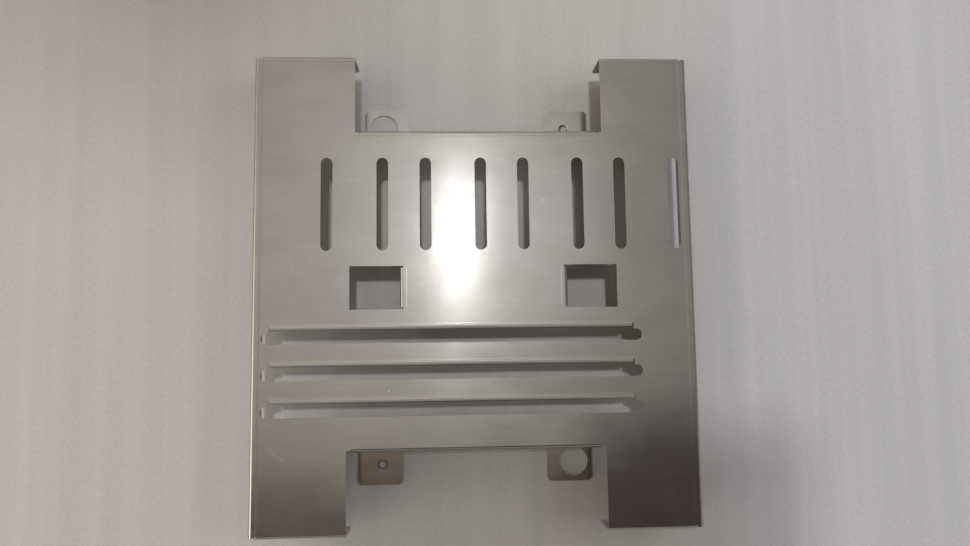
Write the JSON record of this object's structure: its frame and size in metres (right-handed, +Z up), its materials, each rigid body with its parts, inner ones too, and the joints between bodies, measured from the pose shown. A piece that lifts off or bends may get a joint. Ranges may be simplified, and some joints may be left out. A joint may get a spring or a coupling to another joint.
{
  "type": "sheet metal chassis",
  "caption": "Folded sheet-metal chassis: a slotted plate with hanging side walls, notched ends and four mounting ears.",
  "frame": {"origin": "on the mounting plane, under the four ears, in the middle of the overall width and length", "axes": "+X runs across the chassis, +Y towards its back end, +Z up through the plate"},
  "size_m": [0.301, 0.3246, 0.04],
  "materials": {
    "steel": "brushed, with press marks beside the folds and a few fine scratches"
  },
  "bodies": {
    "root": {"chassis": "steel"}
  },
  "joints": []
}
